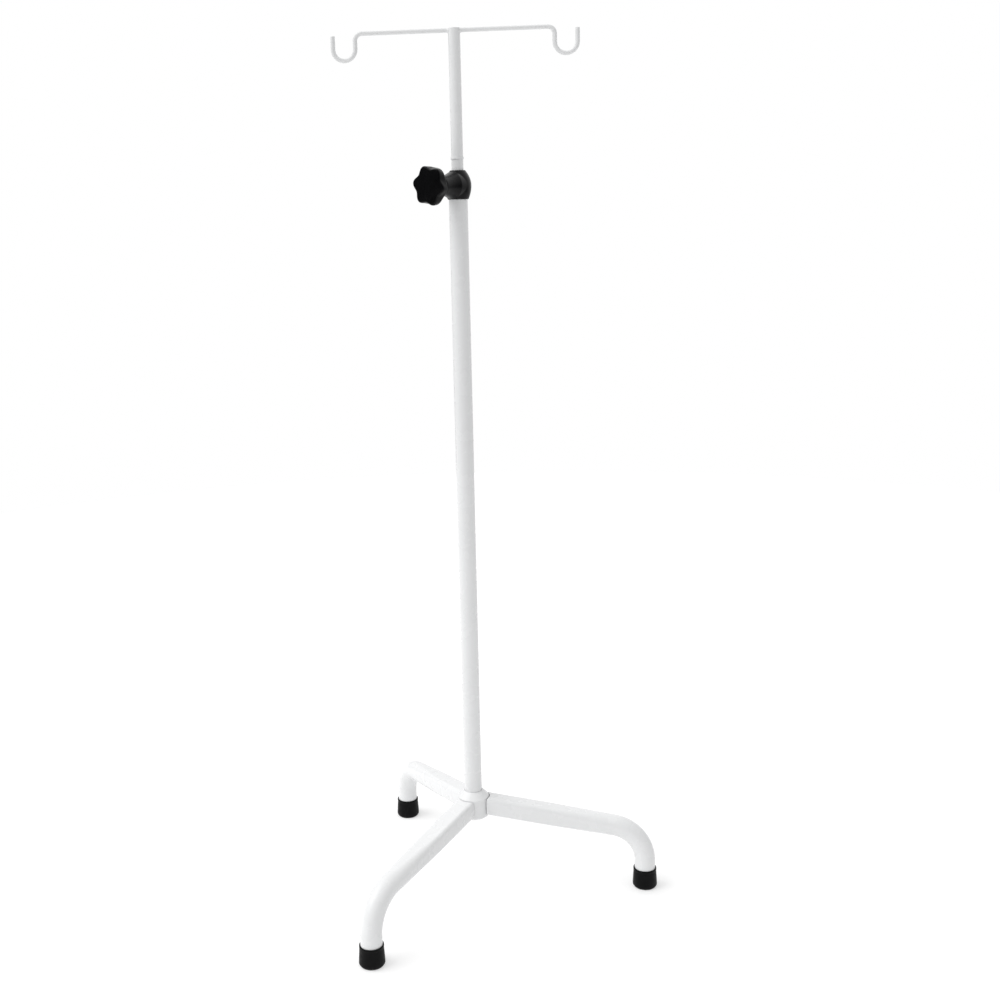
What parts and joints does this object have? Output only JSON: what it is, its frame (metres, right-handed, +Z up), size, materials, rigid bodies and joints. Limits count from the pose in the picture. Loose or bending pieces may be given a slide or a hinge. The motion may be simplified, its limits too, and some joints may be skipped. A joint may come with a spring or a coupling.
{
  "type": "drip stand",
  "caption": "Free-standing drip stand: bent tube legs with rubber feet, a telescopic pole held by a star-knob clamp, and a bar with open hooks for fluid bags.",
  "frame": {"origin": "on the floor under the middle of the whole object's bounding box; the pole's axis is 51.95 mm from it towards -X", "axes": "+Z up along the pole, +X along the right leg, with the hook bar in the X-Z plane at rest; the star knob is on the -X -Y side"},
  "size_m": [0.4358, 0.4722, 1.231],
  "materials": {
    "powder_coat": "white gloss powder coat on steel",
    "black_plastic": "black moulded plastic, satin",
    "black_rubber": "black moulded rubber, satin",
    "zinc_steel": "bright zinc plate",
    "brass_insert": "turned brass",
    "nylon": "natural nylon"
  },
  "bodies": {
    "base": {"hub": "powder_coat", "hub_cap": "black_plastic", "pole_bolt": "zinc_steel", "pole_bolt_washer": "zinc_steel", "pole_base_plug": "zinc_steel", "leg_right": "powder_coat", "leg_back": "powder_coat", "leg_front": "powder_coat", "leg_screw_right": "zinc_steel", "leg_screw_back": "zinc_steel", "leg_screw_front": "zinc_steel", "foot_right": "black_rubber", "foot_back": "black_rubber", "foot_front": "black_rubber", "foot_washer_right": "zinc_steel", "foot_washer_back": "zinc_steel", "foot_washer_front": "zinc_steel", "outer_tube": "powder_coat", "clamp_collar": "black_plastic", "collar_screw": "zinc_steel", "threaded_insert": "brass_insert"},
    "clamp_pad": {"pressure_pad": "nylon"},
    "knob": {"star_knob": "black_plastic", "knob_stud": "zinc_steel"},
    "glide": {"glide_bush": "nylon"},
    "mast": {"inner_tube": "powder_coat", "mast_end_plug": "black_plastic", "stop_ring": "powder_coat", "top_plug": "powder_coat", "hook_bar": "powder_coat"}
  },
  "joints": [
    {"name": "mast_height", "type": "slide", "parent": "base", "child": "glide", "axis": [0, 0, 1], "range_m": [-0.014, 0.75]},
    {"name": "mast_swivel", "type": "hinge", "parent": "glide", "child": "mast", "pos_m": [-0.05195, 0, 0], "axis": [0, 0, 1], "continuous": true},
    {"name": "clamp_travel", "type": "slide", "parent": "base", "child": "clamp_pad", "axis": [-0.5736, -0.8192, 0], "range_m": [0, 0.0025]},
    {"name": "knob_turn", "type": "hinge", "parent": "clamp_pad", "child": "knob", "pos_m": [-0.05195, 0, 1.026], "axis": [-0.5736, -0.8192, 0], "range_deg": [0, 720]}
  ],
  "couplings": [
    {"joint": "clamp_travel", "follows": "knob_turn", "m_per_rad": 0.0001989}
  ]
}
